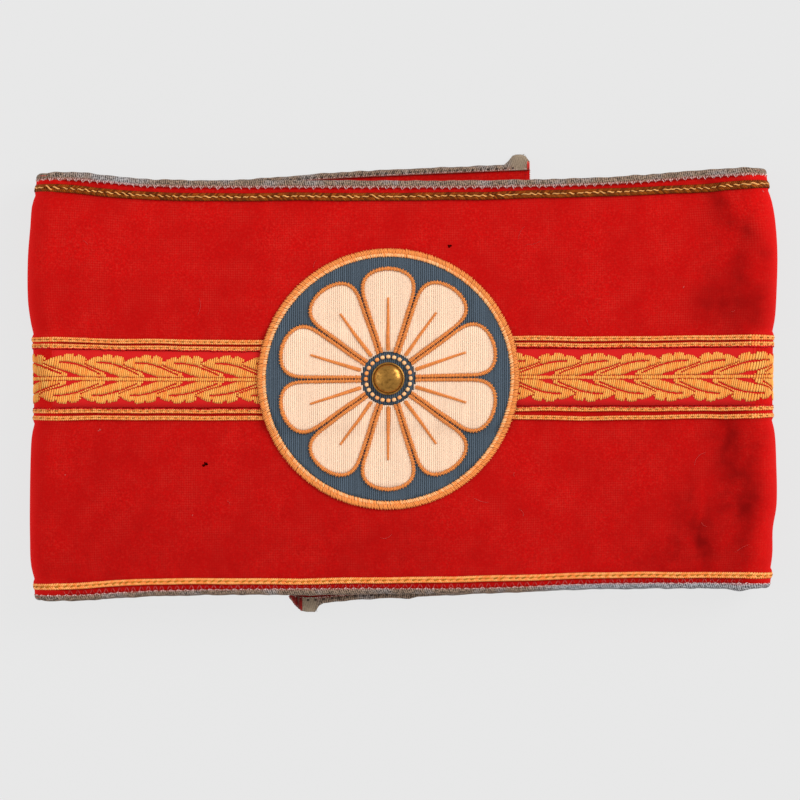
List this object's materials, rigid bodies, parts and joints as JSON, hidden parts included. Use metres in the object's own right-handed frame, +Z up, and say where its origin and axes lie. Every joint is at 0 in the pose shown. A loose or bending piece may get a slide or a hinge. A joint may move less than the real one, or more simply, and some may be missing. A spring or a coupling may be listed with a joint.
{
  "type": "armband",
  "caption": "Red cloth armband laid flat: wool strip with bound edges, plaited cords, a woven leaf braid and a round embroidered flower patch with a brass stud.",
  "frame": {"origin": "on the resting surface, under the middle of the whole armband", "axes": "+X along the flattened band to the right as its front is read, +Y across the band towards its upper edge, +Z up out of the front that carries the patch"},
  "size_m": [0.1924, 0.1182, 0.0174],
  "materials": {
    "red_wool": "fulled wool, matte, with a short nap",
    "grey_tape": "fine knitted tape, mottled grey and brown",
    "bronze_cord": "plaited bronze-brown cord with light gold stitches",
    "gold_cord": "plaited gold-orange cord with a soft shine",
    "red_braid": "woven red ground with gold thread floats",
    "slate_patch": "ribbed slate-grey silk, embroidered",
    "gold_thread": "satin-stitched gold thread",
    "brass_stud": "pressed brass, lightly worn"
  },
  "bodies": {
    "root": {"band_cloth": "red_wool", "binding_top": "grey_tape", "binding_bottom": "grey_tape", "edge_cord_top": "bronze_cord", "edge_cord_bottom": "gold_cord", "braid_ribbon": "red_braid", "braid_cord_top_outer": "gold_cord", "braid_cord_top_inner": "gold_cord", "braid_cord_bottom_inner": "gold_cord", "braid_cord_bottom_outer": "gold_cord", "patch_ground": "slate_patch", "patch_rim": "gold_thread", "centre_stud": "brass_stud"}
  },
  "joints": []
}
